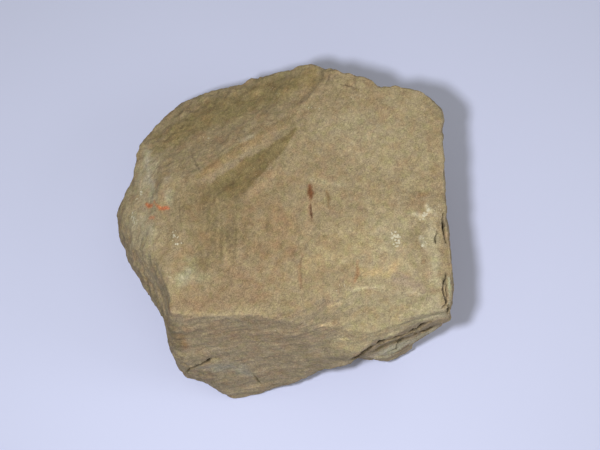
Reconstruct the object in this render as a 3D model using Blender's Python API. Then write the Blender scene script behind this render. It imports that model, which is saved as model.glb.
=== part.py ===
"""Shale hand specimen, built at its real size: metres, +Z up, standing on the origin.

The stone is one piece. It starts as a block lofted through three outlines (foot, waist and head),
is split along the flat fractures that gave it its faces, loses a long flake from its top, is
weathered along its bedding, and last is parted where its thin beds have begun to open.
"""

import math

import bmesh
import bpy
from mathutils import Matrix, Vector, noise

MM = 0.001

# Heights of the block before it is split, in millimetres. The foot is below the ground, because
# the stone is ground flat there once it is weathered.
HEAD_Z = 60.0
FOOT_Z = -4.0

# The beds rise by this many degrees towards +X
BED_DIP_DEG = 15.0
BED_NORMAL = Vector((-math.sin(math.radians(BED_DIP_DEG)), 0.0, math.cos(math.radians(BED_DIP_DEG))))

# Corners of the waist, counterclockwise from the front toe, seen from above. Each has the place
# where the wall stands furthest out (x, y, z), then how far it stands back from there at the foot
# and at the head, towards the middle of the stone, all in millimetres.
CORNERS = (
    ("toe tip", -17.4, -53.2, 1.0, 0.5, 0.0),
    ("front left", -5.4, -51.6, 5.5, 6.0, 0.0),
    ("front middle", 4.6, -49.6, 12.0, 9.0, 0.0),
    ("arris foot", 15.0, -47.0, 20.0, 11.0, 0.0),
    ("lip", 19.2, -46.4, 24.0, 10.0, 0.0),
    ("lip middle", 25.0, -42.6, 27.0, 5.0, 0.0),
    ("slab toe", 28.0, -41.2, 8.0, 0.5, 6.0),
    ("slab middle", 36.6, -39.6, 7.0, 0.5, 8.0),
    ("slab right", 45.2, -35.4, 14.0, 0.5, 6.0),
    ("front right", 52.8, -32.8, 30.0, 1.5, 1.0),
    ("right flake low", 53.2, -25.0, 34.0, 3.0, 2.0),
    ("right flake", 52.7, -10.0, 38.0, 4.0, 2.5),
    ("right middle", 51.3, 3.0, 43.0, 3.0, 1.0),
    ("right upper", 50.9, 17.0, 46.0, 2.0, 0.0),
    ("right shoulder", 51.0, 32.0, 49.0, 3.0, 0.0),
    ("back right", 48.4, 35.6, 49.0, 4.0, 0.0),
    ("back right bevel", 44.4, 39.0, 49.0, 4.0, 0.0),
    ("back hump", 37.0, 40.6, 49.0, 3.0, 0.0),
    ("back notch", 31.0, 39.8, 48.5, 2.0, 0.0),
    ("back step", 28.0, 43.4, 48.0, 3.0, 0.0),
    ("back shelf", 18.5, 46.2, 47.0, 4.0, 0.0),
    ("peak right", 14.0, 49.0, 46.0, 6.0, 0.0),
    ("peak", 8.2, 52.6, 44.0, 8.0, 0.0),
    ("back middle", -5.5, 50.6, 38.5, 6.0, 0.0),
    ("back bump", -18.5, 48.6, 32.0, 4.0, 0.0),
    ("back nick", -28.0, 46.8, 28.5, 3.0, 0.0),
    ("back left", -35.2, 45.4, 26.5, 3.0, 0.0),
    ("back left bevel", -41.2, 38.6, 26.5, 3.0, 0.0),
    ("left upper", -45.6, 33.4, 26.5, 3.0, 0.0),
    ("left back", -49.2, 24.8, 28.0, 4.0, 0.0),
    ("left notch", -50.4, 15.4, 29.0, 4.0, 1.0),
    ("left bulge back", -53.2, 10.8, 27.0, 6.0, 4.0),
    ("left bulge", -55.2, 4.5, 26.0, 8.0, 8.0),
    ("left bulge front", -54.2, -3.6, 27.0, 8.0, 12.0),
    ("left wave", -49.4, -14.6, 29.0, 6.0, 13.0),
    ("left low", -43.6, -23.0, 31.0, 4.0, 11.0),
    ("left shoulder", -38.6, -30.8, 33.0, 2.0, 8.0),
    ("left wall", -37.4, -38.0, 26.0, 1.0, 6.0),
    ("toe corner", -34.2, -44.8, 13.0, 1.5, 4.0),
    ("toe left", -24.4, -47.6, 4.0, 1.0, 4.0),
)

# Flat fractures that split the block: a point on each in millimetres, the compass direction that it
# faces in degrees from +X, and its slope from level.
FRACTURES = (
    ("top", (0.0, 0.0, 48.2), -120.0, 2.3),
    ("left shoulder", (-31.0, 3.5, 47.6), 172.0, 22.0),
    ("left", (-41.5, 0.0, 42.8), 174.0, 44.0),
    ("front", (-17.4, -52.6, 0.5), -92.0, 69.0),
    ("front right", (15.0, -46.2, 20.6), -83.4, 65.4),
    ("under right", (50.5, 0.0, 11.0), -4.0, 122.0),
    ("under back", (8.0, 46.0, 8.0), 84.0, 128.0),
    ("under left", (-48.0, 4.0, 9.0), 178.0, 126.0),
)

# Hollows that open between fractures which meet below the surface, with their planes as above. The
# back left slope and the front right brow are shallow scoops, and the scar's floor dips from the
# front to a step up behind.
HOLLOWS = (
    ("ridge", (("band", (-13.0, 18.9, 48.6), 125.0, 17.0), ("right end", (3.6, 32.1, 49.2), 142.0, 60.0))),
    ("back left", (("slope", (-13.0, 22.8, 47.7), 125.0, 33.0), ("right end", (4.6, 33.4, 49.3), 142.0, 31.0))),
    ("brow", (("left end", (16.3, -28.6, 47.4), -74.0, 39.0), ("right end", (40.0, -28.2, 47.9), -101.0, 39.0))),
    (
        "scar",
        (
            ("floor", (-4.6, 14.8, 48.8), 146.0, 22.0),
            ("step", (-12.0, 19.6, 48.5), -53.0, 45.0),
            ("end", (-20.6, 4.2, 47.8), 62.0, 21.0),
        ),
    ),
)
BOX_SIZE = 250.0

# Beds that have begun to part. Each is a path of points on the surface with the width of the gap
# there (x, y, z, width), then the direction that the gap runs into the stone, and its depth.
PARTINGS = (
    (
        "under the lip",
        (
            (17.0, -45.8, 20.6, 0.7),
            (22.0, -43.6, 24.8, 1.2),
            (27.1, -41.0, 29.0, 1.3),
            (30.0, -39.8, 31.0, 1.7),
            (35.6, -38.3, 32.8, 0.8),
            (42.7, -35.9, 36.2, 1.7),
            (48.5, -34.4, 38.0, 0.6),
        ),
        (-0.2, 1.0, 0.0),
        4.5,
    ),
    (
        "slab",
        (
            (35.5, -40.4, 14.0, 0.5),
            (37.5, -39.1, 20.0, 1.0),
            (40.5, -37.8, 25.0, 0.9),
            (46.5, -35.6, 29.0, 0.5),
        ),
        (-0.3, 1.0, 0.0),
        3.5,
    ),
    (
        "front left",
        (
            (-33.2, -46.7, 14.9, 0.5),
            (-28.6, -45.0, 19.7, 0.9),
            (-25.0, -44.0, 22.7, 1.5),
            (-22.0, -43.3, 24.7, 0.8),
            (-15.9, -42.9, 26.2, 0.7),
            (-12.5, -41.9, 28.7, 0.5),
        ),
        (0.15, 1.0, -0.1),
        3.5,
    ),
    (
        "right flake",
        ((49.2, 1.0, 48.6, 0.5), (48.5, -6.0, 48.4, 0.9), (49.0, -14.0, 48.2, 0.5)),
        (0.05, 0.0, -1.0),
        4.0,
    ),
)

# Weathering: the size and height of each kind of relief, in millimetres
SWELL_SIZE, SWELL_HEIGHT = 34.0, 0.9
LUMP_SIZE, LUMP_HEIGHT = 11.0, 0.55
LEDGE_SIZE, LEDGE_PITCH, LEDGE_HEIGHT = 26.0, 4.0, 0.9

VOXEL = 1.1
EDGE_WEAR_PASSES = 3
TRIANGLES = 8600

BUFF_OLIVE = (0.262, 0.202, 0.118, 1.0)


def clear_scene():
    for obj in list(bpy.data.objects):
        bpy.data.objects.remove(obj)


def add_object(name, bm):
    """A new object in the scene that holds the bmesh."""
    mesh = bpy.data.meshes.new(name)
    bm.to_mesh(mesh)
    bm.free()
    obj = bpy.data.objects.new(name, mesh)
    bpy.context.scene.collection.objects.link(obj)
    return obj


def ring_at(bm, z_of, set_back_of):
    """One vertex per corner, moved towards the middle of the stone by that corner's set back."""
    ring = []
    for corner in CORNERS:
        plan = Vector(corner[1:3])
        plan -= plan.normalized() * set_back_of(corner)
        ring.append(bm.verts.new(Vector((plan.x, plan.y, z_of(corner))) * MM))
    return ring


def loft_block():
    """The rough block: foot, waist and head rings with walls between them, closed above and below."""
    bm = bmesh.new()
    foot = ring_at(bm, lambda corner: FOOT_Z, lambda corner: corner[4])
    waist = ring_at(bm, lambda corner: corner[3], lambda corner: 0.0)
    head = ring_at(bm, lambda corner: HEAD_Z, lambda corner: corner[5])
    for lower, upper in ((foot, waist), (waist, head)):
        for i in range(len(CORNERS)):
            j = (i + 1) % len(CORNERS)
            bm.faces.new((lower[i], lower[j], upper[j], upper[i]))
    bm.faces.new(list(reversed(foot)))
    bm.faces.new(head)
    bmesh.ops.triangulate(bm, faces=bm.faces)
    bmesh.ops.recalc_face_normals(bm, faces=bm.faces)
    return bm


def facing(compass_deg, slope_deg):
    """The outward normal of a face that slopes down towards that compass direction."""
    compass, slope = math.radians(compass_deg), math.radians(slope_deg)
    across = math.sin(slope)
    return Vector((across * math.cos(compass), across * math.sin(compass), math.cos(slope)))


def split(bm, point, normal):
    """Breaks off everything beyond the plane and closes the break."""
    cut = bmesh.ops.bisect_plane(
        bm,
        geom=bm.verts[:] + bm.edges[:] + bm.faces[:],
        dist=1e-6,
        plane_co=point,
        plane_no=normal,
        clear_outer=True,
    )
    rim = [item for item in cut["geom_cut"] if isinstance(item, bmesh.types.BMEdge)]
    bmesh.ops.edgeloop_fill(bm, edges=rim)
    bmesh.ops.triangulate(bm, faces=bm.faces)


def hollow_cutter(name, planes):
    """What the fractures of a hollow take away between them: the space outside every one of them."""
    bm = bmesh.new()
    bmesh.ops.create_cube(bm, size=BOX_SIZE * MM)
    for _, point, compass, slope in planes:
        split(bm, Vector(point) * MM, -facing(compass, slope))
    return add_object(name + " cutter", bm)


def parting_cutter(name, path, inward, depth):
    """A long wedge with its wide side outside the stone and its sharp side at full depth."""
    inward = Vector(inward).normalized()
    outside = 2.0
    bm = bmesh.new()
    sections = []
    for index, (x, y, z, width) in enumerate(path):
        ahead = Vector(path[min(index + 1, len(path) - 1)][:3])
        behind = Vector(path[max(index - 1, 0)][:3])
        across = (ahead - behind).cross(inward).normalized() * width / 2.0
        mouth = Vector((x, y, z)) - inward * outside
        tip = Vector((x, y, z)) + inward * depth
        sections.append([bm.verts.new(point * MM) for point in (mouth + across, mouth - across, tip)])
    for one, two in zip(sections, sections[1:]):
        for side in range(3):
            after = (side + 1) % 3
            bm.faces.new((one[side], one[after], two[after], two[side]))
    bm.faces.new(sections[0])
    bm.faces.new(list(reversed(sections[-1])))
    bmesh.ops.triangulate(bm, faces=bm.faces)
    bmesh.ops.recalc_face_normals(bm, faces=bm.faces)
    return add_object(name + " cutter", bm)


def subtract(obj, cutter):
    cutter.hide_render = True
    cutter.display_type = "WIRE"
    boolean = obj.modifiers.new("Cut by " + cutter.name, "BOOLEAN")
    boolean.operation = "DIFFERENCE"
    boolean.solver = "EXACT"
    boolean.object = cutter


def apply_modifiers(obj):
    """Replaces the object's mesh by what its modifiers make, and drops them and their cutters."""
    evaluated = obj.evaluated_get(bpy.context.evaluated_depsgraph_get())
    mesh = bpy.data.meshes.new_from_object(evaluated)
    cutters = [modifier.object for modifier in obj.modifiers if modifier.type == "BOOLEAN"]
    obj.modifiers.clear()
    obj.data = mesh
    for cutter in cutters:
        bpy.data.objects.remove(cutter)


def remesh(obj):
    """Even facets all over, with every sharp edge worn round."""
    voxels = obj.modifiers.new("Even facets", "REMESH")
    voxels.mode = "VOXEL"
    voxels.voxel_size = VOXEL * MM
    wear = obj.modifiers.new("Edge wear", "SMOOTH")
    wear.iterations = EDGE_WEAR_PASSES
    apply_modifiers(obj)


def weather(obj):
    """Moves the surface in and out: broad swells, lumps, and ledges where bed edges come out."""
    bm = bmesh.new()
    bm.from_mesh(obj.data)
    bm.normal_update()
    for vert in bm.verts:
        place = vert.co / MM
        height = place.dot(BED_NORMAL)
        on_edge = 1.0 - abs(vert.normal.dot(BED_NORMAL))
        swell = SWELL_HEIGHT * noise.noise(place / SWELL_SIZE)
        lump = LUMP_HEIGHT * noise.noise(place / LUMP_SIZE + Vector((7.0, 3.0, 5.0)))
        bed = place / LEDGE_SIZE + BED_NORMAL * (height / LEDGE_PITCH)
        ledge = LEDGE_HEIGHT * on_edge * noise.noise(bed)
        vert.co += vert.normal * (swell + lump + ledge) * MM
    bm.to_mesh(obj.data)
    bm.free()


def simplify(obj):
    triangles = sum(len(face.vertices) - 2 for face in obj.data.polygons)
    decimate = obj.modifiers.new("Fewer facets", "DECIMATE")
    decimate.ratio = TRIANGLES / triangles
    apply_modifiers(obj)


def grind_foot(obj):
    """The flat face that the stone rests on."""
    bm = bmesh.new()
    bm.from_mesh(obj.data)
    split(bm, Vector((0.0, 0.0, 0.0)), Vector((0.0, 0.0, -1.0)))
    bm.to_mesh(obj.data)
    bm.free()


def stand_on_origin(obj):
    """Puts the middle of the box that the stone fills over the origin, with the foot on z = 0."""
    places = [vert.co for vert in obj.data.vertices]
    low = Vector([min(place[axis] for place in places) for axis in range(3)])
    high = Vector([max(place[axis] for place in places) for axis in range(3)])
    middle = (low + high) / 2.0
    obj.data.transform(Matrix.Translation((-middle.x, -middle.y, -low.z)))


def shale_material():
    material = bpy.data.materials.new("buff olive shale")
    material.use_nodes = True
    surface = material.node_tree.nodes["Principled BSDF"]
    surface.inputs["Base Color"].default_value = BUFF_OLIVE
    surface.inputs["Roughness"].default_value = 0.88
    surface.inputs["Metallic"].default_value = 0.0
    return material


def make_shale():
    block = loft_block()
    for _, point, compass, slope in FRACTURES:
        split(block, Vector(point) * MM, facing(compass, slope))
    shale = add_object("shale", block)
    for hollow in HOLLOWS:
        subtract(shale, hollow_cutter(*hollow))
    remesh(shale)
    weather(shale)
    simplify(shale)
    grind_foot(shale)
    for parting in PARTINGS:
        subtract(shale, parting_cutter(*parting))
    apply_modifiers(shale)
    stand_on_origin(shale)
    shale.data.materials.clear()
    shale.data.materials.append(shale_material())


def main():
    clear_scene()
    make_shale()


main()
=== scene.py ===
"""A shale hand specimen and its studio, laid out as an add-on and run as a script.

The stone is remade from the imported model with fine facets, weathered, cracked and painted. Sizes
are in millimetres unless a name says otherwise, and places picked in the photo are pixels from its
top left corner, cast from the photo's viewpoint onto the stone.
"""

import math

import bmesh
import bpy
import numpy as np
from mathutils import Euler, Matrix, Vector, noise
from mathutils.bvhtree import BVHTree


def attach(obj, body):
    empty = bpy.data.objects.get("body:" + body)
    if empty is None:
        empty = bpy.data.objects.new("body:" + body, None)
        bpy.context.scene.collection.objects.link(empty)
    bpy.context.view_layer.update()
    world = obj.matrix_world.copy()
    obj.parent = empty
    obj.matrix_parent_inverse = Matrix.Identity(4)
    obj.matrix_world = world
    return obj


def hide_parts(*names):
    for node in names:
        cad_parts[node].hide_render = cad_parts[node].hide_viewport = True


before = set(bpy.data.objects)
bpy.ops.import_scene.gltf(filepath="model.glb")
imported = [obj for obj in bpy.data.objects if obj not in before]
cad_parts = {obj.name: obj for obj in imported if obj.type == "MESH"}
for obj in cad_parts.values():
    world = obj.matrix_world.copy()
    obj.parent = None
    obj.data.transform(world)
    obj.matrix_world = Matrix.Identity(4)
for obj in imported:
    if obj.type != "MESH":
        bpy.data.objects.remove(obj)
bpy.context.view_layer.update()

bl_info = {
    "name": "Shale Specimen",
    "version": (1, 0, 0),
    "blender": (4, 5, 0),
    "location": "View3D > Sidebar > Specimen",
    "description": "Builds a weathered shale hand specimen and the studio that it stands in",
    "category": "Object",
}

MM = 0.001

# The viewpoint of the photo. The tilt is how far the camera looks up from straight down.
PHOTO_WIDTH, PHOTO_HEIGHT = 600, 450
CAMERA_PLACE = Vector((6.43, -126.7, 420.6))
CAMERA_DISTANCE = 417.0
CAMERA_TILT = math.radians(18.0)
LENS, SENSOR = 75.0, 36.0
CLIP_START = 10.0
TO_CAMERA = Vector((0.0, -math.sin(CAMERA_TILT), math.cos(CAMERA_TILT)))

# The beds rise by this much towards +X
BED_DIP = math.radians(15.0)
BED_NORMAL = Vector((-math.sin(BED_DIP), 0.0, math.cos(BED_DIP)))

# How far a face is turned away from the beds, from 0 to 1, where it starts to count as broken and
# where it fully does: once for its shape, and once for its colour
BROKEN_SHAPE = (0.05, 0.35)
BROKEN_COLOUR = (0.1, 0.4)

# The wrinkles of the split top run about this way, from the front left to the back right
WRINKLE_ANGLE = math.radians(-40.0)
WRINKLE_TURN = np.array(Euler((0.0, 0.0, WRINKLE_ANGLE)).to_matrix())

# How squarely a face looks at the photo's viewpoint, from -1 to 1: where it starts to show and
# fully does, and where a crack starts to be cut deeper into it and is cut fully
SHOWN = (-0.15, 0.25)
FACING = (0.1, 0.45)

# The stone's foot is flat below the first height, and it is fully weathered above the second. A
# vertex lower than the last, in metres, counts as on the ground.
FOOT_HEIGHT = 0.45
WEATHERED_HEIGHT = 1.5
ON_GROUND = 1e-7

# Noise patterns: the size of their features, the place in the noise where they start, and how many
# layers of noise they have, each finer than the last. Three sizes are those along X, Y and Z.
LUMPS = (6.5, 3.0, 3)
GRIT = (1.2, 11.0, 2)
CREASES = ((1.5, 4.5, 3.0), 17.0, 2)
TERRACES = (7.5, 21.0, 2)
GROOVES = ((2.0, 15.0, 6.0), 27.0, 2)
BENDS = (18.0, 43.0, 1)
CHIPS = (5.5, 71.0, 3)
SPLINTERS = (2.4, 83.0, 2)
CRACK_SWELL = (2.4, 47.0, 1)
CRACK_WANDER = ((2.0, 31.0, 2), (2.0, 37.0, 2))
PAINT_DRIFT = ((5.0, 51.0, 3), (5.0, 57.0, 3), (5.0, 61.0, 3))
COLOUR_STREAKS = ((1.1, 13.0, 6.0), 67.0, 2)

# Patterns in thin sheets: their reach along the beds, their spacing across, and where they start
THIN_BEDS = (12.0, 0.9, 5.0)
THICK_BEDS = (20.0, 2.4, 9.0)
COLOUR_BEDS = (40.0, 3.2, 13.0)

# How high a pattern is beside the lumps or the thin beds, and how much higher beds are out of view
CREASE_SHARE, CHIP_SHARE, SPLINTER_SHARE = 0.4, 0.9, 1.6
THICK_BED_SHARE = 0.9
UNSEEN_BED_SHARE = 1.4

# The thin flakes: how many steps the terraces go up or down, the part of each step where it drops,
# and how high a step is beside the grooves
TERRACE_COUNT = 3.0
STEP_DROP = (0.4, 0.6)
STEP_SHARE = 0.5

# How far the beds bend up and down
BEND_HEIGHT = 2.5

# How far an edge stands out of the smoothed surface where it starts to chip, and fully does
EDGE_HEIGHT = (0.04, 0.3)

# Passes of smoothing that find the stone's edges, find its worn edges and the hollows given painted
# shade, and soften eased faces
EDGE_PASSES, WEAR_AND_SHADE_PASSES, EASE_PASSES = 24, 6, 20

# Where the split top is grooved from front to back: the soft edge, then places in the photo, each
# with the half width there
GROOVED = (12.0, ((205, 205, 6), (225, 240, 8), (265, 225, 6), (290, 215, 3)))

# Edges that broke ragged: the soft edge, then places in the photo, each with the half width there
RAGGED = {
    "back left": (
        6.0,
        (
            (170, 135, 3), (188, 112, 4), (215, 98, 3), (262, 82, 3), (300, 70, 3), (332, 76, 3),
            (360, 88, 2),
        ),
    ),
    "lower left": (
        6.0,
        ((124, 235, 2), (140, 270, 3), (160, 305, 3), (172, 335, 3), (183, 362, 3), (212, 380, 3)),
    ),
}

# Faces that ease off towards their lower edge: how far the edge comes towards the camera, how far
# it goes back along +Y and how wide the face is, then places along the edge in the photo
EASED = {
    "lip": (
        8.0, 0.0, 9.0,
        (
            (352, 359), (364, 351.8), (371, 347.3), (380, 342.3), (397, 337.6), (413.5, 331),
            (421.5, 326), (449, 318),
        ),
    ),
    "slab's rim": (
        7.0, 1.4, 5.0,
        ((362, 359), (378, 362.5), (395, 362), (405, 357), (412, 351), (420, 343), (432, 336)),
    ),
}

# An eased face isn't smoothed within the first distance of its edge, and fully beyond the second.
# The smoothing fades out over this share of the face's width at its upper end.
SMOOTHED_FROM = (1.0, 2.5)
SMOOTH_FADE = 0.2

# How far from its path a crack may mark the stone, how far the facets beside it are made finer, how
# much its path wobbles, and the depth from which the painted shade in its gap is full
CRACK_REACH = 3.5
FINE_REACH = 0.8
CRACK_WOBBLE = 0.22
FULL_SHADE_DEPTH = 1.3

# The cut leans this much towards straight down, and its width swells and shrinks by this share
CUT_LEAN = 0.6
SWELL_SHARE = 0.6

# A crack keeps this share of its depth at its tips, and this share on faces seen at a slant
TIP_SHARE = 0.35
SLANT_SHARE = 0.25

# A tip is this part of the way to the next pick. The walls start and end at these shares of the
# gap's width. A gap starts to get painted shade at the first width, and gets it fully from the
# second.
TIP_LENGTH = 0.4
WALLS = (0.15, 0.5)
SHADED_WIDTH = (0.2, 0.8)

# Open cracks: the greatest depth, then places in the photo, each with the width of the gap there
CRACKS = {
    # The gap under the lip gets painted shade where the lip's shadow lies.
    "under the lip": (
        1.4,
        (
            (352, 359.5, 0.3), (357, 356.5, 0.7), (364, 351.8, 0.7), (368, 349.5, 1.1),
            (371, 347.3, 1), (375, 345.2, 0.4), (380, 342.3, 1.3), (386, 340.3, 0.5),
            (391, 339.8, 0.4), (397, 337.6, 0.8), (403, 335.2, 0.6), (408.5, 333.5, 0.6),
            (413.5, 331, 0.5), (418, 328.4, 0.7), (421.5, 325.9, 1.7), (426.5, 323.4, 0.6),
            (432, 321.2, 0.3),
        ),
    ),
    "into the slab": (
        0.8,
        (
            (388, 352.5, 0.3), (393, 351, 0.4), (396.2, 349, 0.8), (396.6, 345, 0.5),
            (399, 341.2, 0.5), (402.5, 337.6, 0.4),
        ),
    ),
    "beside the crack into the slab": (
        0.4,
        ((393.5, 345.5, 0.3), (396, 342, 0.5), (400, 338.5, 0.4)),
    ),
    "slab's lower parting": (
        0.5,
        ((376, 356.5, 0.3), (390, 355.5, 0.5), (401, 350.5, 0.4), (411, 343, 0.3)),
    ),
    "slab's long parting": (0.5, ((403, 344.5, 0.3), (413, 338.5, 0.5), (424, 333.5, 0.3))),
    "above the slab": (1.0, ((409, 333, 0.4), (411.5, 330.6, 0.6), (416, 329, 0.3))),
    "slab's upper parting": (
        0.9,
        (
            (413, 333.5, 0.3), (418, 333, 0.5), (423, 331.5, 0.6), (429.5, 329.2, 1),
            (435, 326.4, 0.8),
        ),
    ),
    "front left": (
        2.0,
        (
            (185.5, 373.5, 0.4), (190.5, 369, 0.5), (197.5, 366, 0.6), (203.5, 363.8, 0.5),
            (208.3, 361, 1), (212, 359, 0.4), (218, 357.6, 0.3),
        ),
    ),
    "front left tail": (0.8, ((253, 374.5, 0.3), (258, 380.5, 0.6), (263, 386, 0.3))),
    "right edge, upper": (
        1.8,
        (
            (444.3, 213, 0.3), (442.8, 218, 0.6), (443.2, 222.5, 1.1), (443.6, 228, 0.9),
            (444.3, 233, 0.5), (445, 238, 0.5), (446.3, 243.5, 0.5),
        ),
    ),
    "right edge, inner": (
        1.2,
        ((436.6, 223, 0.3), (437, 229, 0.4), (436.3, 236, 0.7), (435.3, 244.5, 0.4)),
    ),
    "right edge, hook": (0.6, ((437, 247.5, 0.3), (440.5, 251, 0.5), (444.5, 253.2, 0.3))),
    "right flake": (
        1.8,
        (
            (445.5, 272.5, 0.3), (445.2, 278, 0.8), (443.3, 283, 0.5), (443, 289, 0.5),
            (444.2, 295, 0.5), (446.3, 301, 0.8), (446, 304.3, 0.4),
        ),
    ),
    "right flake, outer": (
        1.2,
        ((445.6, 279.5, 0.4), (446.3, 285, 0.5), (446.5, 291, 0.4), (447.2, 297, 0.3)),
    ),
    "right flake, branch": (1.0, ((446, 304.3, 0.4), (443.8, 305.3, 0.5), (441.8, 309, 0.3))),
    "right flake, foot": (1.6, ((448.6, 304.5, 0.4), (448.9, 309, 1.1), (447.6, 314, 0.4))),
    "groove above the ridge": (0.3, ((190.5, 153, 0.7), (195.5, 163, 1), (200.5, 171.5, 0.6))),
    "back edge": (0.6, ((341, 84.5, 0.3), (351, 86.5, 0.5), (362, 90, 0.3))),
    "back corner": (0.5, ((330, 74, 0.4), (328.5, 79, 0.6), (326, 85, 0.3))),
    "edge of the thin flake": (
        0.25,
        ((302.5, 255, 0.4), (299.5, 264, 0.7), (301, 274, 0.6), (301, 288, 0.4)),
    ),
    "groove of the rust streak": (0.5, ((310.8, 203, 0.3), (311.4, 209, 0.6), (312, 218, 0.3))),
    "left groove": (0.2, ((178, 198, 0.5), (180, 215, 0.7), (181.5, 235, 0.6), (183.5, 262, 0.4))),
    "short groove": (0.2, ((203, 188, 0.4), (204, 205, 0.6), (203, 222, 0.4))),
    "foot of the brow": (0.3, ((347, 336, 0.4), (343, 338.5, 0.6), (350, 341, 0.4))),
}
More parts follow.
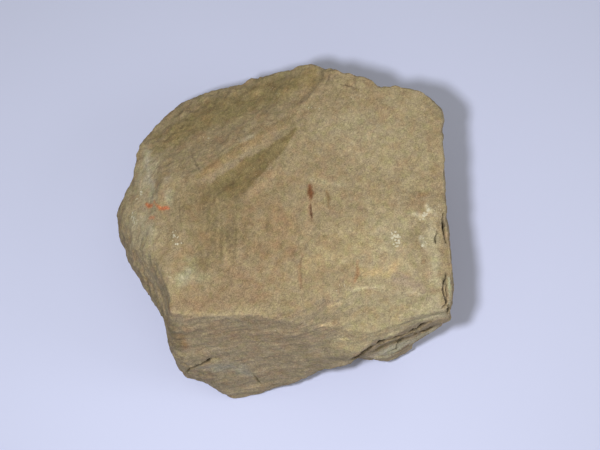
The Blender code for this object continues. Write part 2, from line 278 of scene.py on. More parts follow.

# Paint: colour, strength, soft edge, then places in the photo, each with the half width there.
# Broad paint over the faces comes first, darker to the left of the top and lighter to its right,
# and small stains come last.
PAINT = {
    "left of the top": ("7f6f52", 0.9, 12.0, ((200, 205, 6), (212, 245, 8), (240, 225, 6))),
    "middle left of the top": ("8c7b5e", 0.8, 12.0, ((262, 180, 6), (268, 215, 6), (262, 250, 5))),
    "right of the top": ("9e8f71", 0.9, 14.0, ((400, 110, 9), (410, 165, 9), (360, 150, 5))),
    "right low of the top": ("a6997b", 0.9, 12.0, ((385, 235, 7), (395, 268, 8), (350, 250, 4))),
    "pink middle of the top": ("8e7759", 0.75, 8.0, ((262, 198, 2), (285, 235, 4), (262, 262, 2))),
    "pale back of the top": ("a79b7f", 0.45, 12.0, ((335, 128, 5), (372, 126, 6))),
    "yellow low middle": ("a8966e", 0.45, 8.0, ((312, 262, 3), (345, 245, 4), (370, 232, 2))),
    "pale stripe": ("ada284", 0.7, 2.0, ((302, 180, 0.6), (322, 181, 0.8), (346, 184, 0.4))),
    "green left": ("8f8b6d", 0.5, 5.0, ((190, 262, 2), (200, 280, 2.5))),
    "pale left patch": ("a9a58a", 0.6, 2.5, ((180, 281, 1.6), (188, 272, 1.6))),
    "orange right low": ("bda577", 0.6, 3.0, ((358, 268, 1), (385, 275, 1.5), (400, 262, 1))),
    "pink right low": ("a08d78", 0.8, 3.0, ((394, 280, 1.6), (410, 284, 2.4), (421, 290, 1.6))),
    "right end of the brow": ("ada389", 0.8, 5.0, ((405, 303, 2), (436, 309, 2))),
    "left bulge": ("aea387", 0.8, 7.0, ((145, 165, 5), (140, 220, 6), (150, 240, 4))),
    "left wall": ("6f634d", 0.8, 4.0, ((140, 275, 1), (160, 305, 1), (172, 325, 2), (178, 345, 2))),
    "back peak": ("a8976f", 0.7, 5.0, ((296, 84, 3), (318, 75, 2))),
    "back left slope": (
        "85764f", 0.7, 7.0,
        ((170, 138, 5), (215, 112, 8), (262, 96, 6), (306, 80, 4)),
    ),
    "ridge band": (
        "8f7b5a", 0.9, 1.6,
        ((196, 176, 1), (212, 168, 1.6), (240, 149, 1.8), (262, 135, 1.4)),
    ),
    "back left flake": ("a08e68", 0.7, 3.0, ((246, 97, 1.5), (262, 92, 1.5))),
    "front left face": (
        "94846d", 0.5, 4.0,
        ((200, 335, 2.5), (240, 345, 3), (265, 372, 3), (285, 378, 2)),
    ),
    "ridge band, upper": ("8b7858", 0.8, 2.0, ((268, 129, 1.4), (289, 119, 1.2))),
    "ridge bloom": ("aca28a", 0.6, 1.4, ((243, 142, 0.6), (252, 136, 0.9))),
    # Partly real olive staining and partly painted shade: the scar is darkened for the steeper
    # slope that its floor lacks.
    "scar": (
        "81724f", 0.95, 0.9,
        (
            (211, 194, 2.6), (224, 188, 4.4), (236, 183, 4.9), (255, 165, 3.9), (277, 148, 2.4),
            (294, 130, 0.8),
        ),
    ),
    # Painted shade along the step at the scar's lower right edge.
    "scar's dark edge": (
        "6c5d40", 0.7, 1.2,
        ((236, 200, 0.8), (245, 190, 1), (257, 175, 0.9), (271, 162, 0.6), (285, 147, 0.4)),
    ),
    "scar's dark end": ("6f6042", 0.7, 2.0, ((211, 195, 1), (222, 189, 1.4), (234, 184, 1))),
    "scar's pink rim": (
        "9f8b6c", 0.55, 1.0,
        ((247, 200, 0.5), (253, 192, 1), (265, 182, 1.3), (279, 171, 0.8)),
    ),
    "foot of the scar": ("7d6e50", 0.7, 4.0, ((203, 192, 3), (220, 202, 3.5), (236, 210, 2.5))),
    "left bloom": ("b5ad98", 0.6, 3.5, ((147, 150, 1.4), (149, 168, 1.8), (153, 196, 1))),
    "second bloom": ("aca590", 0.6, 3.0, ((167, 178, 0.8), (170, 202, 1))),
    "orange band": (
        "89745a", 0.65, 5.0,
        ((172, 306, 1.4), (205, 298, 3.5), (238, 286, 5.5), (262, 297, 3)),
    ),
    "rim": (
        "a59473", 0.6, 0.8,
        ((175, 313, 0.5), (198, 313.5, 0.8), (226, 314, 0.5), (262, 314, 0.4)),
    ),
    "front grey": (
        "8d7d64", 0.8, 6.0,
        ((190, 335, 3), (235, 335, 6), (290, 335, 6), (310, 350, 4)),
    ),
    "arris": ("a1947c", 0.6, 4.0, ((310, 338, 1.5), (318, 354, 2))),
    "rust brown corner": ("8c6d49", 0.6, 2.5, ((180, 334, 0.8), (185, 345, 1.2))),
    "front left toe": ("8e8a7c", 0.7, 4.0, ((200, 368, 1.5), (225, 366, 2.5), (245, 372, 2))),
    "brow": ("a09375", 0.8, 7.0, ((340, 300, 2), (375, 300, 4), (425, 308, 4))),
    # Painted light: the lip is lightened where the steep face above the crack would render as a
    # dark band.
    "lip": (
        "a39a7e", 0.6, 3.0,
        ((357, 351, 0.8), (378, 338, 1.4), (400, 329, 1.4), (425, 319, 1.2), (444, 314, 1.2)),
    ),
    # Painted light, as on the lip, where that band is widest.
    "right end of the lip": (
        "b9ad90", 0.8, 2.0,
        ((428, 318, 0.6), (438, 316.5, 0.9), (445, 316.5, 0.8)),
    ),
    # Painted light: lightens the lower brow, whose steep face renders darker.
    "under the brow": (
        "a99d7c", 0.6, 5.0,
        ((338, 342, 3), (352, 334, 4), (385, 324, 4), (425, 315, 2.5)),
    ),
    # Partly the slab's own grey-olive colour and partly painted light on its steep face.
    "slab": (
        "a39c86", 0.9, 2.0,
        ((366, 357, 1.5), (388, 351, 3.2), (402, 345, 3.2), (418, 337, 2.2), (437, 327, 1)),
    ),
    "brow's rim": ("c0b494", 0.6, 0.8, ((352, 291, 0.4), (366, 287.5, 0.5), (384, 286.5, 0.4))),
    "pale arch": ("c4b897", 0.7, 0.7, ((404, 292.5, 0.3), (418, 293.5, 0.4), (433, 297, 0.3))),
    "cream flake": ("c2b088", 0.7, 0.9, ((328, 307, 0.5), (341, 303, 0.6))),
    "cream flake, lower": ("cbb890", 0.8, 0.9, ((322, 326, 0.5), (330, 324, 0.5))),
    "cream flake, lowest": ("cbb890", 0.8, 0.8, ((338, 339, 0.4), (347, 340, 0.4))),
    "rust halo": ("9a7a5c", 0.5, 1.4, ((309.5, 188, 0.8), (309.5, 205, 0.7), (311, 222, 0.5))),
    "rust streak": ("6e452c", 0.95, 0.7, ((310, 187.5, 0.8), (310.4, 194, 1.1), (310.9, 199, 0.7))),
    "rust streak tail": (
        "5f3b28", 0.9, 0.6,
        ((310.6, 203, 0.35), (311.2, 213, 0.5), (311.8, 226, 0.25)),
    ),
    "rust smear": ("745c3c", 0.85, 0.9, ((326, 191, 0.4), (328, 199, 0.7), (330, 208, 0.4))),
    "rust thread": ("95714f", 0.75, 0.6, ((357.6, 260, 0.25), (357, 273, 0.7), (354, 286, 0.3))),
    "edge of the thin flake": (
        "94775a", 0.5, 0.8,
        ((302, 255, 0.3), (300, 270, 0.7), (301, 288, 0.5)),
    ),
    "brown smear, right": ("93714f", 0.5, 1.2, ((418, 195, 0.5), (428, 193, 0.6))),
    "brown veins, right": (
        "866b4d", 0.8, 0.7,
        ((422, 258, 0.3), (424, 263, 0.7), (429, 266.5, 0.4), (432, 270, 0.3)),
    ),
    "rust fleck, left": (
        "c2693f", 0.85, 0.7,
        ((145.5, 203, 0.5), (148.5, 206, 0.7), (153, 205.5, 0.4)),
    ),
    "rust fleck, middle": (
        "c2693f", 0.85, 0.7,
        ((155, 202, 0.6), (157.5, 205.5, 0.4), (160, 208, 0.5)),
    ),
    "rust fleck, right": (
        "c06a44", 0.8, 0.7,
        ((162, 208.5, 0.5), (166, 207.5, 0.6), (168, 208.5, 0.4)),
    ),
    "rust fleck, low": ("b8734e", 0.7, 0.7, ((149, 218, 0.4), (155, 218, 0.5))),
    "pale flake, right": (
        "c3bb9e", 0.5, 0.9,
        ((409, 213.5, 0.3), (416, 214.5, 0.7), (423, 219, 0.7)),
    ),
    "pale flake, upper right": ("c3bb9e", 0.8, 0.9, ((427, 206, 0.7), (428.5, 211.5, 0.8))),
    "pale zone, right": ("b6ad8f", 0.6, 3.0, ((432, 210, 1.2), (431, 245, 2.2), (435, 285, 2))),
    "pale flake, crystals": (
        "cdc6b0", 0.7, 0.9,
        ((421.5, 237, 0.5), (422.5, 241, 0.6), (424.5, 246, 0.6)),
    ),
    "green strip": ("b0b398", 0.7, 0.8, ((448.6, 277, 0.4), (449.2, 290, 0.5), (449, 303, 0.3))),
}

# The paint's edges drift by this share of their softness. On broken faces, beds tint the colour,
# and so do streaks where the split top is grooved.
DRIFT_SHARE = 0.5
BED_TINT, STREAK_TINT = 0.12, 0.22

# Crystals crowd round these places: how many, soft edge, then places with the half width there
CRYSTALS = {
    "centre right": (1.0, 1.2, ((395.5, 233, 1.3), (396.5, 239, 1.6), (397, 244, 1.2))),
    "right": (1.0, 1.2, ((421.5, 237, 0.8), (422.5, 240, 1), (424, 245.5, 1))),
    "upper right": (0.9, 1.2, ((422, 218.5, 0.6), (428, 210, 0.8))),
    "lower right": (1.0, 0.8, ((426.5, 284.5, 0.5), (427.5, 285.5, 0.5))),
    "brow": (0.8, 1.6, ((337, 290, 0.8), (342, 286, 1))),
    "ridge": (0.6, 3.0, ((308, 106, 1), (322, 109, 1))),
    "back left": (0.7, 2.0, ((203, 138, 0.8), (209, 138, 0.8))),
    "back left, upper": (0.5, 2.0, ((265, 87, 0.8), (276, 88, 0.8))),
    "left bulge": (1.0, 1.4, ((138, 197, 1.2), (141, 193, 1.2))),
    "left bulge, lower": (1.0, 1.6, ((132, 213, 1.2), (136, 222, 1.2))),
    "left groove": (1.0, 1.4, ((173, 233, 1.2), (179, 245, 1.2))),
    "front": (0.6, 1.6, ((267, 330, 0.6), (285, 333, 0.6))),
}

# Mottles of the shader: the tint's setting, size, place in the noise, strength
MOTTLES = (("rust", 3.2, 2.0, 0.85), ("olive", 2.2, 7.0, 0.9), ("ash", 1.4, 12.0, 0.9))

# Light and dark patterns of the shader: size, twist, darkest, lightest. They are broad patches,
# wrinkles, and silt, which is drawn coarser than it is so that it shows.
SHADES = ((6.0, 0.5, 0.96, 1.10), (1.5, 1.2, 0.87, 1.15), (0.35, 0.0, 0.74, 1.28))

# How dark and light the fibres are, how much a bed edge changes the light, how light a worn edge
# is, and how dark the painted shade in a hollow is, when it lies this far above or below the
# smoothed surface
FIBRE_LIGHT = (0.84, 1.18)
STREAK_LIGHT = 0.11
EDGE_WEAR_AND_HOLLOW_SHADE = (1.12, 0.8)
WEAR_AND_SHADE_DEPTH = 0.5

# Crystals: how much of its cell one fills and how strongly it shows. A crowd adds its strength to
# that of a crystal alone.
CROWDED_REACH, LONE_REACH = 0.42, 0.2
CROWDED_STRENGTH, LONE_STRENGTH = 0.4, 0.35
PIT_STRENGTH = 0.25

# Other patterns of the shader: the spacing of their features, and the height of the bump
FIBRE_SPACING = 0.6
WRINKLE_SPACING = 1.3
STREAK_SPACING = 0.7
CRYSTAL_SPACING = 0.85
CRYSTAL_PATCH = 9.0
PIT_SPACING = 1.1
FELT_GRAIN = 0.4
BUMP_HEIGHT = 0.35

# How much longer than wide the bed streaks and the wrinkles are, along X, Y and Z once turned
STREAK_STRETCH = (8.0, 8.0, 1.0)
WRINKLE_STRETCH = (1.0, 2.2, 1.6)

# Most values of the shader's noise lie between the first two. The rest say from where on it counts
# as a mottle, a patch with a few crystals or a pit, and where it fully does.
NOISE_LOW, NOISE_HIGH = 0.3, 0.7
MOTTLE_RANGE = (0.45, 0.7)
CRYSTAL_RANGE = (0.5, 0.75)
PIT_RANGE = (0.7, 0.78)

# The studio: half the width of the floor, the place of the small lamp by the camera, and the weak
# lights that fill the shadows, each with its place, width and power in watts
FLOOR_REACH = 1500.0
LAMP_PLACE = (-33.0, -93.0, 312.0)
FILLS = {
    "right fill": ((420.0, -60.0, 300.0), 250.0, 0.4),
    "front fill": ((260.0, -430.0, 120.0), 300.0, 0.3),
    "back fill": ((380.0, 700.0, 140.0), 400.0, 0.8),
}


def linear(hex_colour):
    """Linear red, green and blue from an sRGB colour in hex."""
    channels = [int(hex_colour[start : start + 2], 16) / 255.0 for start in (0, 2, 4)]
    return tuple(c / 12.92 if c <= 0.04045 else ((c + 0.055) / 1.055) ** 2.4 for c in channels)


def colour_property(name, description, hex_colour):
    return bpy.props.FloatVectorProperty(
        name=name,
        description=description,
        subtype="COLOR",
        size=3,
        min=0.0,
        max=1.0,
        default=linear(hex_colour),
    )


def length_property(name, description, millimetres):
    return bpy.props.FloatProperty(
        name=name,
        description=description,
        unit="LENGTH",
        min=0.0,
        precision=6,
        default=millimetres * MM,
    )


class StoneSettings(bpy.types.PropertyGroup):
    facet: length_property("Facet", "Spacing of the stone's fine facets", 0.58)
    grit: length_property("Grit", "Height of the sandy grit", 0.14)
    nubs: length_property("Nubs", "Height of the small nubs and pits", 0.5)
    flakes: length_property("Flakes", "Height of the thin flakes left on split faces", 0.4)
    laminae: length_property("Laminae", "Height of the bed edges on broken faces", 0.22)
    split_face: colour_property("Split face", "Colour of the faces split along the beds", "958568")
    broken_face: colour_property("Broken face", "Colour of the faces broken across them", "8f8169")
    rust: colour_property("Rust tint", "Tint of the iron-stained mottles", "fff0eb")
    olive: colour_property("Olive tint", "Tint of the greenish mottles", "f4fbec")
    ash: colour_property("Ash tint", "Tint of the grey clay mottles", "f4f4ff")
    crystal: colour_property("Crystal", "Colour of the pale crystal specks", "cfc9b4")
    # Also the colour of the painted shade in the open cracks.
    pit_and_crack_shade: colour_property("Pit", "Colour of the dark pits and open cracks", "40372a")


class StudioSettings(bpy.types.PropertyGroup):
    floor_colour: colour_property("Floor", "Colour of the floor", "cdd2f0")
    daylight_colour: colour_property("Daylight colour", "Colour of the even light", "fffde8")
    daylight: bpy.props.FloatProperty(
        name="Daylight", description="Brightness of the even light", min=0.0, default=0.34
    )
    lamp_colour: colour_property("Lamp colour", "Colour of the lamp beside the camera", "fcfdff")
    lamp_power: bpy.props.FloatProperty(
        name="Lamp power",
        description="Power of the lamp beside the camera",
        unit="POWER",
        min=0.0,
        default=0.7,
    )
    lamp_size: length_property("Lamp size", "Width of the lamp beside the camera", 26.0)


def smoothstep(values, low, high):
    """0 below low, 1 above high, and a smooth ramp between."""
    share = np.clip((values - low) / (high - low), 0.0, 1.0)
    return share * share * (3.0 - 2.0 * share)


def field(places, size, start, octaves):
    """Smooth noise from about -1 to 1 at each place, with features of that size."""
    shift = Vector((start, start * 1.7, start * 2.3))
    return np.array([noise.fractal(Vector(p) + shift, 1.0, 2.0, octaves) for p in places / size])


def bed_field(places, along, pitch, start):
    """Noise in thin sheets that follow the beds: long along them, and short across."""
    heights = places @ np.array(BED_NORMAL)
    stretched = places / along + np.outer(heights / pitch, np.array(BED_NORMAL))
    return field(stretched, 1.0, start, 1)


def brokenness(normals, limits):
    """0 on faces split along the beds, 1 on faces broken across them."""
    return smoothstep(1.0 - np.abs(normals @ np.array(BED_NORMAL)), *limits)


def cast(tree, pixel):
    """The place on the stone that the photo shows at that pixel."""
    focal = LENS / SENSOR * PHOTO_WIDTH
    ray = Vector((pixel[0] - PHOTO_WIDTH / 2.0, PHOTO_HEIGHT / 2.0 - pixel[1], -focal))
    ray.rotate(Euler((CAMERA_TILT, 0.0, 0.0)))
    hit = tree.ray_cast(CAMERA_PLACE, ray.normalized())[0]
    if hit is None:
        raise RuntimeError(f"no stone at pixel {pixel}")
    return hit


def in_view(places):
    """Where each place is seen from the photo's viewpoint, at the scale of the stone's middle."""
    turn = np.array(Euler((CAMERA_TILT, 0.0, 0.0)).to_matrix())
    seen = (places - np.array(CAMERA_PLACE)) @ turn
    return seen[:, :2] / -seen[:, 2:] * CAMERA_DISTANCE


def picked_view(picks):
    """The same for places picked in the photo."""
    scale = CAMERA_DISTANCE / (LENS / SENSOR * PHOTO_WIDTH)
    centre_x, centre_y = PHOTO_WIDTH / 2.0, PHOTO_HEIGHT / 2.0
    return [((x - centre_x) * scale, (centre_y - y) * scale) for x, y, *_ in picks]


def distance_to_path(places, path):
    """Distance from each place to a chain of points, and how far along it the nearest point is."""
    best = np.full(len(places), np.inf)
    along = np.zeros(len(places))
    for index, (start, end) in enumerate(zip(path, path[1:])):
        start, span = np.array(start), np.array(end) - np.array(start)
        share = np.clip((places - start) @ span / max(span @ span, 1e-9), 0.0, 1.0)
        gap = np.linalg.norm(places - start - np.outer(share, span), axis=1)
        nearer = gap < best
        best[nearer] = gap[nearer]
        along[nearer] = index + share[nearer]
    return best, along


def width_along(picks, along):
    """The width given with each pick, at places between them."""
    return np.interp(along, range(len(picks)), [pick[2] for pick in picks])


def cover_of(places, tree, soft, picks):
    """How far a marked place covers each vertex, 0 to 1."""
    distance, along = distance_to_path(places, [cast(tree, pick) for pick in picks])
    return 1.0 - smoothstep(distance - width_along(picks, along), -soft / 2.0, soft / 2.0)


def vertex_places(mesh):
    flat = np.empty(len(mesh.vertices) * 3)
    mesh.vertices.foreach_get("co", flat)
    return flat.reshape(-1, 3) / MM


def vertex_normals(mesh):
    flat = np.empty(len(mesh.vertices) * 3)
    mesh.vertex_normals.foreach_get("vector", flat)
    return flat.reshape(-1, 3)


def move_vertices(mesh, places):
    mesh.vertices.foreach_set("co", (places * MM).ravel())
    mesh.update()


def stone_tree(mesh):
    """The stone's surface for casting rays onto, in millimetres."""
    polygons = [tuple(polygon.vertices) for polygon in mesh.polygons]
    return BVHTree.FromPolygons([Vector(place) for place in vertex_places(mesh)], polygons)


def spread(mesh, values, passes):
    """Averages rows of values, one row a vertex, with those of the neighbours, over and over."""
    ends = np.empty(len(mesh.edges) * 2, int)
    mesh.edges.foreach_get("vertices", ends)
    one, two = ends[0::2], ends[1::2]
    count = np.bincount(ends, minlength=len(values))[:, None]
    for _ in range(passes):
        total = np.zeros_like(values)
        np.add.at(total, one, values[two])
        np.add.at(total, two, values[one])
        values = total / count
    return values


def hollowness(mesh, passes):
    """How far each vertex lies below the smoothed surface round it."""
    places, normals = vertex_places(mesh), vertex_normals(mesh)
    return ((spread(mesh, places, passes) - places) * normals).sum(axis=1)


def store(mesh, name, values):
    attribute = mesh.attributes.new(name, "FLOAT", "POINT")
    attribute.data.foreach_set("value", values.astype(np.float32))


def store_colour(mesh, name, colours):
    attribute = mesh.attributes.new(name, "FLOAT_COLOR", "POINT")
    rgba = np.column_stack((colours, np.ones(len(colours))))
    attribute.data.foreach_set("color", rgba.astype(np.float32).ravel())


def remesh(stone, facet):
    """Gives the stone even facets of that size, with its old ones smoothed away."""
    facets = stone.modifiers.new("Fine facets", "REMESH")
    facets.mode = "VOXEL"
    facets.voxel_size = facet
    facets.use_smooth_shade = True
    soften = stone.modifiers.new("Soften old facets", "SMOOTH")
    soften.iterations = 2
    evaluated = stone.evaluated_get(bpy.context.evaluated_depsgraph_get())
    mesh = bpy.data.meshes.new_from_object(evaluated)
    stone.modifiers.clear()
    stone.data = mesh


def visible(tree, places, chosen):
    """Which of the chosen places the camera sees."""
    seen = np.zeros(len(places), bool)
    for index in np.flatnonzero(chosen):
        start = Vector(places[index]) + TO_CAMERA
        seen[index] = tree.ray_cast(start, TO_CAMERA)[0] is None
    return seen


def ease_faces(mesh):
    """Brings the lower edge of some faces towards the camera, where it is seen, moves the edge back
    a little, and smooths those faces except right beside the edge."""
    tree, places = stone_tree(mesh), vertex_places(mesh)
    seen = in_view(places)
    forward, backward, soften = np.zeros((3, len(places)))
    for edge_forward, edge_backward, width, picks in EASED.values():
        edge = np.array(picked_view(picks))
        distance = distance_to_path(seen, edge)[0]
        share = np.clip(1.0 - distance / width, 0.0, 1.0)
        beyond = np.interp(seen[:, 0], edge[:, 0], edge[:, 1]) > seen[:, 1]
        face = visible(tree, places, (share > 0.0) & ~beyond)
        off_edge = smoothstep(distance, *SMOOTHED_FROM) * smoothstep(share, 0.0, SMOOTH_FADE)
        forward = np.maximum(forward, edge_forward * share * face)
        backward = np.maximum(backward, edge_backward * smoothstep(share, 0.0, 1.0))
        soften = np.maximum(soften, off_edge * face)
    places = places + np.outer(forward, TO_CAMERA) + np.outer(backward, (0.0, 1.0, 0.0))
    smoothed = spread(mesh, places, EASE_PASSES)
    move_vertices(mesh, places + soften[:, None] * (smoothed - places))


def flatten_foot(mesh):
    """Makes the face that the stone stands on flat, and joins its facets into one."""
    places = vertex_places(mesh)
    places[places[:, 2] < FOOT_HEIGHT, 2] = 0.0
    move_vertices(mesh, places)
    bm = bmesh.new()
    bm.from_mesh(mesh)
    flat = [face for face in bm.faces if all(vert.co.z < ON_GROUND for vert in face.verts)]
    bmesh.ops.dissolve_faces(bm, faces=flat, use_verts=True)
    bm.to_mesh(mesh)
    bm.free()


def refine_cracks(mesh, paths):
    """Halves the facets beside each crack, so that its walls come out sharp."""
    places = vertex_places(mesh)
    near = np.zeros(len(places), bool)
    for path in paths:
        near |= distance_to_path(places, path)[0] < FINE_REACH
    bm = bmesh.new()
    bm.from_mesh(mesh)
    bm.verts.ensure_lookup_table()
    edges = [edge for edge in bm.edges if all(near[vert.index] for vert in edge.verts)]
    bmesh.ops.subdivide_edges(bm, edges=edges, cuts=1, use_grid_fill=True)
    bm.to_mesh(mesh)
    bm.free()


def rough_relief(mesh, tree, places, settings):
    """Lumps, creases and grit all over, chips along the edges, and splinters on ragged ones."""
    turned = places @ WRINKLE_TURN
    creases = 0.5 - np.abs(field(turned, *CREASES))
    edge = smoothstep(-hollowness(mesh, EDGE_PASSES), *EDGE_HEIGHT)
    chips = edge * field(places, *CHIPS)
    ragged = np.max([cover_of(places, tree, *row) for row in RAGGED.values()], axis=0)
    splinters = ragged * field(places, *SPLINTERS)
    rough = field(places, *LUMPS) + CREASE_SHARE * creases
    rough = rough + CHIP_SHARE * chips + SPLINTER_SHARE * splinters
    return settings.nubs * rough + settings.grit * field(places, *GRIT)


def flake_relief(places, tree, split, settings):
    """Thin flakes that end in steps on the split faces, and the grooves of the top."""
    terraces = field(places, *TERRACES) * TERRACE_COUNT
    steps = np.floor(terraces) + smoothstep(terraces - np.floor(terraces), *STEP_DROP)
    grooved = split * cover_of(places, tree, *GROOVED)
    flakes = STEP_SHARE * split * (steps - steps.mean()) + grooved * field(places, *GROOVES)
    return settings.flakes * flakes


def bed_relief(places, normals, split, settings):
    """Bed edges on the broken faces, highest on the sides that the photo doesn't show."""
    bends = field(places, *BENDS) * BEND_HEIGHT
    bent = places + np.outer(bends, np.array(BED_NORMAL))
    laminae = bed_field(bent, *THIN_BEDS) + THICK_BED_SHARE * bed_field(bent, *THICK_BEDS)
    unseen = 1.0 - smoothstep(normals @ np.array(TO_CAMERA), *SHOWN)
    return settings.laminae * (1.0 - split) * laminae * (1.0 + UNSEEN_BED_SHARE * unseen)


def weather(mesh, tree, settings):
    """Roughens the stone everywhere but on its foot."""
    places, normals = vertex_places(mesh), vertex_normals(mesh)
    split = 1.0 - brokenness(normals, BROKEN_SHAPE)
    relief = rough_relief(mesh, tree, places, settings)
    relief = relief + flake_relief(places, tree, split, settings)
    relief = relief + bed_relief(places, normals, split, settings)
    relief = relief * smoothstep(places[:, 2], 0.0, WEATHERED_HEIGHT)
    move_vertices(mesh, places + normals * (relief / MM)[:, None])


def carve_cracks(mesh, paths):
    """Sinks a narrow gap along each crack and gives each vertex the painted shade of its gap, 0 to
    1.
    Faces seen at a slant are cut less, since the gap is stretched there."""
    places, normals = vertex_places(mesh), vertex_normals(mesh)
    inward = normals + np.array((0.0, 0.0, CUT_LEAN))
    inward /= np.linalg.norm(inward, axis=1)[:, None]
    wander = np.stack([field(places, *pattern) for pattern in CRACK_WANDER], axis=1)
    seen = in_view(places) + wander * CRACK_WOBBLE
    swell = 1.0 + SWELL_SHARE * field(places, *CRACK_SWELL)
    facing = smoothstep(normals @ np.array(TO_CAMERA), *FACING)
    facing = SLANT_SHARE + (1.0 - SLANT_SHARE) * facing
    gap = np.zeros(len(places))
    sunk = places.copy()
    for (depth, picks), path in zip(CRACKS.values(), paths):
        distance, along = distance_to_path(seen, picked_view(picks))
        width = width_along(picks, along) * swell
        to_end = np.minimum(along, len(picks) - 1 - along)
        tapered = TIP_SHARE + (1.0 - TIP_SHARE) * smoothstep(to_end, 0.0, TIP_LENGTH)
        close = distance_to_path(places, path)[0] < CRACK_REACH
        gully = 1.0 - smoothstep(distance, width * WALLS[0], width * WALLS[1])
        inside = close * facing * tapered * gully
        sunk -= inward * (inside * depth)[:, None]
        # Painted shade: a crack's gap is darker the deeper and wider it is.
        crack_shade = min(depth / FULL_SHADE_DEPTH, 1.0) * smoothstep(width, *SHADED_WIDTH)
        gap = np.maximum(gap, inside * crack_shade)
    move_vertices(mesh, sunk)
    return gap


def paint(mesh, tree, settings):
    """Gives each vertex the colour of its face, its bed and the paint on it, and its crystals."""
    places, normals = vertex_places(mesh), vertex_normals(mesh)
    broken = brokenness(normals, BROKEN_COLOUR)[:, None]
    tone = np.array(settings.split_face) * (1.0 - broken) + np.array(settings.broken_face) * broken
    drift = np.stack([field(places, *pattern) for pattern in PAINT_DRIFT], axis=1)
    for colour, strength, soft, picks in PAINT.values():
        drifted = places + drift * soft * DRIFT_SHARE
        cover = strength * cover_of(drifted, tree, soft, picks)[:, None]
        tone = tone * (1.0 - cover) + np.array(linear(colour)) * cover
    beds = bed_field(places, *COLOUR_BEDS)[:, None]
    streaks = field(places, *COLOUR_STREAKS)[:, None]
    grooved = cover_of(places, tree, *GROOVED)[:, None]
    tints = BED_TINT * broken * beds + STREAK_TINT * grooved * (1.0 - broken) * streaks
    tone = tone * (1.0 + tints)
    store_colour(mesh, "tone", tone)
    crystals = np.zeros(len(places))
    for amount, soft, picks in CRYSTALS.values():
        crystals = np.maximum(crystals, amount * cover_of(places, tree, soft, picks))
    store(mesh, "crystals", crystals)


def add_node(tree, kind, inputs, **settings):
    """Adds a node with its settings. An input given a socket is linked, and any other is set."""
    node = tree.nodes.new(kind)
    for name, value in settings.items():
        setattr(node, name, value)
    for key, value in inputs.items():
        if isinstance(value, bpy.types.NodeSocket):
            tree.links.new(value, node.inputs[key])
        else:
            node.inputs[key].default_value = value
    return node


def mottled(tree, place, colour, settings):
    """Soft mottles of iron, green clay and grey clay."""
    for name, size, start, strength in MOTTLES:
        noise_inputs = {"Vector": place, "W": start, "Scale": 1.0 / size, "Detail": 4.0}
        patches = add_node(tree, "ShaderNodeTexNoise", noise_inputs, noise_dimensions="4D")
        cover_inputs = {
            "Value": patches.outputs["Fac"],
            "From Min": MOTTLE_RANGE[0],
            "From Max": MOTTLE_RANGE[1],
            "To Max": strength,
        }
        cover = add_node(tree, "ShaderNodeMapRange", cover_inputs).outputs[0]
        mix_inputs = {0: cover, 6: colour, 7: (*getattr(settings, name), 1.0)}
        tinted = {"data_type": "RGBA", "blend_type": "MULTIPLY"}
        colour = add_node(tree, "ShaderNodeMix", mix_inputs, **tinted).outputs[2]
    return colour


def light_patterns(tree, place, along_wrinkles):
    """Fibres along the wrinkles, the patterns of SHADES, wear, which lightens edges, and painted
    shade, which darkens hollows. Each comes with the range of its values and the light at both ends
    of that range."""
    fibres = add_node(
        tree,
        "ShaderNodeTexNoise",
        {
            "Vector": along_wrinkles,
            "Scale": 1.0 / FIBRE_SPACING,
            "Detail": 2.0,
            "Distortion": 1.4,
        },
    )
    patterns = [(fibres.outputs["Fac"], NOISE_LOW, NOISE_HIGH, *FIBRE_LIGHT)]
    for size, twist, darkest, lightest in SHADES:
        shade = add_node(
            tree,
            "ShaderNodeTexNoise",
            {"Vector": place, "Scale": 1.0 / size, "Detail": 3.0, "Distortion": twist},
        )
        patterns.append((shade.outputs["Fac"], NOISE_LOW, NOISE_HIGH, darkest, lightest))
    # Worn edges are lighter, and hollows get painted shade.
    hollow = add_node(tree, "ShaderNodeAttribute", {}, attribute_name="hollow").outputs["Fac"]
    patterns.append((hollow, -WEAR_AND_SHADE_DEPTH, WEAR_AND_SHADE_DEPTH, *EDGE_WEAR_AND_HOLLOW_SHADE))
    return patterns


def light_and_dark(tree, patterns, streak, broken):
    """How light the stone is: bed edges on the broken faces, times each of the patterns."""
    streak_change = add_node(
        tree,
        "ShaderNodeMapRange",
        {
            "Value": streak,
            "From Min": NOISE_LOW,
            "From Max": NOISE_HIGH,
            "To Min": -STREAK_LIGHT,
            "To Max": STREAK_LIGHT,
        },
    )
    light = add_node(
        tree,
        "ShaderNodeMath",
        {0: streak_change.outputs[0], 1: broken, 2: 1.0},
        operation="MULTIPLY_ADD",
    ).outputs[0]
    for value, low, high, at_low, at_high in patterns:
        limits = {"From Min": low, "From Max": high, "To Min": at_low, "To Max": at_high}
        shade = add_node(tree, "ShaderNodeMapRange", {"Value": value, **limits}).outputs[0]
        product = add_node(tree, "ShaderNodeMath", {0: light, 1: shade}, operation="MULTIPLY")
        light = product.outputs[0]
    return light


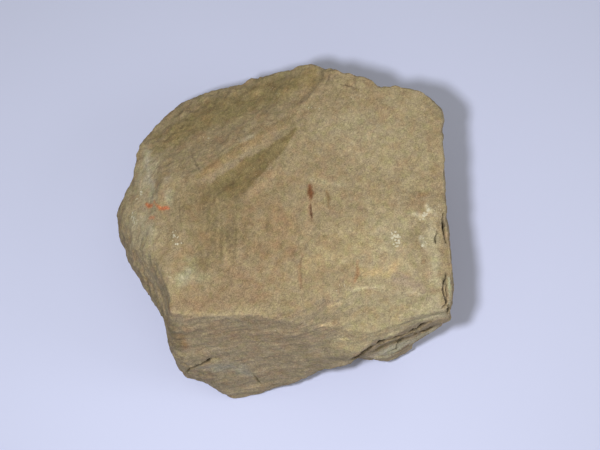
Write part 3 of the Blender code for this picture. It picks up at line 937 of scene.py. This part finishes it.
def with_crystals(tree, place, colour, settings):
    """Pale crystals of about half a millimetre, crowded in some places and few elsewhere."""
    cells = add_node(
        tree, "ShaderNodeTexVoronoi", {"Vector": place, "Scale": 1.0 / CRYSTAL_SPACING}
    )
    few = add_node(
        tree,
        "ShaderNodeTexNoise",
        {"Vector": place, "Scale": 1.0 / CRYSTAL_PATCH, "Detail": 1.0},
    )
    reach = add_node(
        tree,
        "ShaderNodeMapRange",
        {
            "Value": few.outputs["Fac"],
            "From Min": CRYSTAL_RANGE[0],
            "From Max": CRYSTAL_RANGE[1],
            "To Max": LONE_REACH,
        },
    )
    crowd = add_node(tree, "ShaderNodeAttribute", {}, attribute_name="crystals").outputs["Fac"]
    grown = add_node(
        tree,
        "ShaderNodeMath",
        {0: crowd, 1: CROWDED_REACH, 2: reach.outputs[0]},
        operation="MULTIPLY_ADD",
    )
    speck = add_node(
        tree,
        "ShaderNodeMath",
        {0: cells.outputs["Distance"], 1: grown.outputs[0]},
        operation="LESS_THAN",
    )
    shown = add_node(
        tree,
        "ShaderNodeMath",
        {0: crowd, 1: CROWDED_STRENGTH, 2: LONE_STRENGTH},
        operation="MULTIPLY_ADD",
    )
    cover = add_node(
        tree, "ShaderNodeMath", {0: speck.outputs[0], 1: shown.outputs[0]}, operation="MULTIPLY"
    )
    mix_inputs = {0: cover.outputs[0], 6: colour, 7: (*settings.crystal, 1.0)}
    return add_node(tree, "ShaderNodeMix", mix_inputs, data_type="RGBA").outputs[2]


def with_pits(tree, place, colour, settings):
    """Dark pits of about a millimetre, and the painted shade of the open cracks."""
    pits = add_node(
        tree, "ShaderNodeTexNoise", {"Vector": place, "Scale": 1.0 / PIT_SPACING, "Detail": 1.0}
    )
    pitted = add_node(
        tree,
        "ShaderNodeMapRange",
        {
            "Value": pits.outputs["Fac"],
            "From Min": PIT_RANGE[0],
            "From Max": PIT_RANGE[1],
            "To Max": PIT_STRENGTH,
        },
    )
    # The painted shade of the open cracks.
    gap = add_node(tree, "ShaderNodeAttribute", {}, attribute_name="gap").outputs["Fac"]
    dark = add_node(tree, "ShaderNodeMath", {0: pitted.outputs[0], 1: gap}, operation="MAXIMUM")
    mix_inputs = {0: dark.outputs[0], 6: colour, 7: (*settings.pit_and_crack_shade, 1.0)}
    return add_node(tree, "ShaderNodeMix", mix_inputs, data_type="RGBA").outputs[2]


def felt_grain(tree, place, along_wrinkles, streak, broken):
    """Silt grain that can be felt, the rasp of the bed edges, and wrinkles, as a bump."""
    grain = add_node(
        tree, "ShaderNodeTexNoise", {"Vector": place, "Scale": 1.0 / FELT_GRAIN, "Detail": 2.0}
    )
    rasp = add_node(
        tree,
        "ShaderNodeMath",
        {0: streak, 1: broken, 2: grain.outputs["Fac"]},
        operation="MULTIPLY_ADD",
    )
    wrinkles = add_node(
        tree,
        "ShaderNodeTexNoise",
        {
            "Vector": along_wrinkles,
            "Scale": 1.0 / WRINKLE_SPACING,
            "Detail": 4.0,
            "Roughness": 0.6,
            "Distortion": 1.0,
        },
        noise_type="RIDGED_MULTIFRACTAL",
    )
    height = add_node(
        tree,
        "ShaderNodeMath",
        {0: wrinkles.outputs["Fac"], 1: 0.8, 2: rasp.outputs[0]},
        operation="MULTIPLY_ADD",
    )
    bump_inputs = {"Height": height.outputs[0], "Strength": 0.9, "Distance": BUMP_HEIGHT * MM}
    return add_node(tree, "ShaderNodeBump", bump_inputs).outputs[0]


def shale_material(settings):
    """Silty shale, split by hand and weathered. To the eye it is dull, mottled with iron and clay,
    and gritty like fine sandpaper, with bed edges wherever it broke across its beds."""
    material = bpy.data.materials.new("silty shale, hand-split and weathered")
    material.use_nodes = True
    tree = material.node_tree
    surface = tree.nodes["Principled BSDF"]
    surface.inputs["Roughness"].default_value = 0.9
    surface.inputs["Specular IOR Level"].default_value = 0.25
    coordinates = add_node(tree, "ShaderNodeTexCoord", {}).outputs["Object"]
    place = add_node(
        tree, "ShaderNodeVectorMath", {0: coordinates, "Scale": 1.0 / MM}, operation="SCALE"
    ).outputs[0]
    along_beds = add_node(
        tree,
        "ShaderNodeMapping",
        {"Vector": place, "Rotation": (0.0, -BED_DIP, 0.0), "Scale": STREAK_STRETCH},
        vector_type="TEXTURE",
    ).outputs[0]
    along_wrinkles = add_node(
        tree,
        "ShaderNodeMapping",
        {"Vector": place, "Rotation": (0.0, 0.0, WRINKLE_ANGLE), "Scale": WRINKLE_STRETCH},
        vector_type="TEXTURE",
    ).outputs[0]
    streak = add_node(
        tree,
        "ShaderNodeTexNoise",
        {"Vector": along_beds, "Scale": 1.0 / STREAK_SPACING, "Detail": 3.0},
    ).outputs["Fac"]
    tone = add_node(tree, "ShaderNodeAttribute", {}, attribute_name="tone").outputs["Color"]
    broken = add_node(tree, "ShaderNodeAttribute", {}, attribute_name="broken").outputs["Fac"]
    colour = mottled(tree, place, tone, settings)
    patterns = light_patterns(tree, place, along_wrinkles)
    light = light_and_dark(tree, patterns, streak, broken)
    lit_inputs = {0: 1.0, 6: colour, 7: light}
    lit = add_node(tree, "ShaderNodeMix", lit_inputs, data_type="RGBA", blend_type="MULTIPLY")
    colour = with_crystals(tree, place, lit.outputs[2], settings)
    colour = with_pits(tree, place, colour, settings)
    tree.links.new(colour, surface.inputs["Base Color"])
    bump = felt_grain(tree, place, along_wrinkles, streak, broken)
    tree.links.new(bump, surface.inputs["Normal"])
    return material


def card_material(settings):
    """Pale card: matt, so that it shows a soft shadow and no reflection."""
    material = bpy.data.materials.new("pale card, matt")
    material.use_nodes = True
    surface = material.node_tree.nodes["Principled BSDF"]
    surface.inputs["Base Color"].default_value = (*settings.floor_colour, 1.0)
    surface.inputs["Roughness"].default_value = 0.95
    surface.inputs["Specular IOR Level"].default_value = 0.1
    return material


class SPECIMEN_OT_stone(bpy.types.Operator):
    """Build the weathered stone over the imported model"""

    bl_idname = "specimen.stone"
    bl_label = "Stone"

    def execute(self, context):
        settings = context.scene.specimen_stone
        stone = bpy.data.objects.new("shale_stone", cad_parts["shale"].data.copy())
        context.scene.collection.objects.link(stone)
        remesh(stone, settings.facet)
        ease_faces(stone.data)
        remesh(stone, settings.facet)
        mesh = stone.data
        flatten_foot(mesh)
        tree = stone_tree(mesh)
        paths = [[cast(tree, pick) for pick in picks] for _, picks in CRACKS.values()]
        refine_cracks(mesh, paths)
        broken = brokenness(vertex_normals(mesh), BROKEN_SHAPE)
        weather(mesh, tree, settings)
        gap = carve_cracks(mesh, paths)
        paint(mesh, tree, settings)
        store(mesh, "broken", broken)
        # The painted shade of the cracks.
        store(mesh, "gap", gap)
        store(mesh, "hollow", hollowness(mesh, WEAR_AND_SHADE_PASSES))
        mesh.materials.clear()
        mesh.materials.append(shale_material(settings))
        mesh.shade_smooth()
        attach(stone, "root")
        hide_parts("shale")
        return {"FINISHED"}


class SPECIMEN_OT_studio(bpy.types.Operator):
    """Lay the floor, and set up the lights and the camera"""

    bl_idname = "specimen.studio"
    bl_label = "Studio"

    def execute(self, context):
        scene = context.scene
        settings = scene.specimen_studio
        add_floor(scene, settings)
        add_daylight(scene, settings)
        add_lamps(scene, settings)
        add_camera(scene)
        scene.view_settings.view_transform = "Standard"
        return {"FINISHED"}


def add_floor(scene, settings):
    reach = FLOOR_REACH * MM
    corners = [(-reach, -reach, 0), (reach, -reach, 0), (reach, reach, 0), (-reach, reach, 0)]
    mesh = bpy.data.meshes.new("floor")
    mesh.from_pydata(corners, [], [(0, 1, 2, 3)])
    mesh.materials.append(card_material(settings))
    floor = bpy.data.objects.new("floor", mesh)
    scene.collection.objects.link(floor)


def add_daylight(scene, settings):
    world = bpy.data.worlds.new("daylight")
    world.use_nodes = True
    sky = world.node_tree.nodes["Background"]
    sky.inputs["Color"].default_value = (*settings.daylight_colour, 1.0)
    sky.inputs["Strength"].default_value = settings.daylight
    scene.world = world


def add_area_light(scene, name, place, width, power):
    """A soft light at that place, turned to the foot of the stone."""
    light = bpy.data.lights.new(name, "AREA")
    light.size = width
    light.energy = power
    lamp = bpy.data.objects.new(name, light)
    lamp.location = Vector(place) * MM
    lamp.rotation_euler = (-lamp.location).to_track_quat("-Z", "Y").to_euler()
    scene.collection.objects.link(lamp)
    return light


def add_lamps(scene, settings):
    size, power = settings.lamp_size, settings.lamp_power
    lamp = add_area_light(scene, "lamp", LAMP_PLACE, size, power)
    lamp.shape = "DISK"
    lamp.color = settings.lamp_colour
    for name, (place, width, power) in FILLS.items():
        add_area_light(scene, name, place, width * MM, power)


def add_camera(scene):
    """The photo's viewpoint: high in front of the stone, with a long lens."""
    data = bpy.data.cameras.new("camera")
    data.lens = LENS
    data.sensor_width = SENSOR
    data.clip_start = CLIP_START * MM
    camera = bpy.data.objects.new("camera", data)
    camera.location = CAMERA_PLACE * MM
    camera.rotation_euler = (CAMERA_TILT, 0.0, 0.0)
    scene.collection.objects.link(camera)
    scene.camera = camera


class SPECIMEN_PT_panel(bpy.types.Panel):
    bl_label = "Shale Specimen"
    bl_space_type = "VIEW_3D"
    bl_region_type = "UI"
    bl_category = "Specimen"

    def draw(self, context):
        for operator, settings in (
            (SPECIMEN_OT_stone, context.scene.specimen_stone),
            (SPECIMEN_OT_studio, context.scene.specimen_studio),
        ):
            box = self.layout.box()
            for name in settings.__annotations__:
                box.prop(settings, name)
            box.operator(operator.bl_idname)


CLASSES = (StoneSettings, StudioSettings, SPECIMEN_OT_stone, SPECIMEN_OT_studio, SPECIMEN_PT_panel)


def register():
    for cls in CLASSES:
        bpy.utils.register_class(cls)
    bpy.types.Scene.specimen_stone = bpy.props.PointerProperty(type=StoneSettings)
    bpy.types.Scene.specimen_studio = bpy.props.PointerProperty(type=StudioSettings)


def unregister():
    del bpy.types.Scene.specimen_studio
    del bpy.types.Scene.specimen_stone
    for cls in reversed(CLASSES):
        bpy.utils.unregister_class(cls)


def main():
    register()
    bpy.ops.specimen.stone()
    bpy.ops.specimen.studio()


if __name__ == "__main__":
    main()
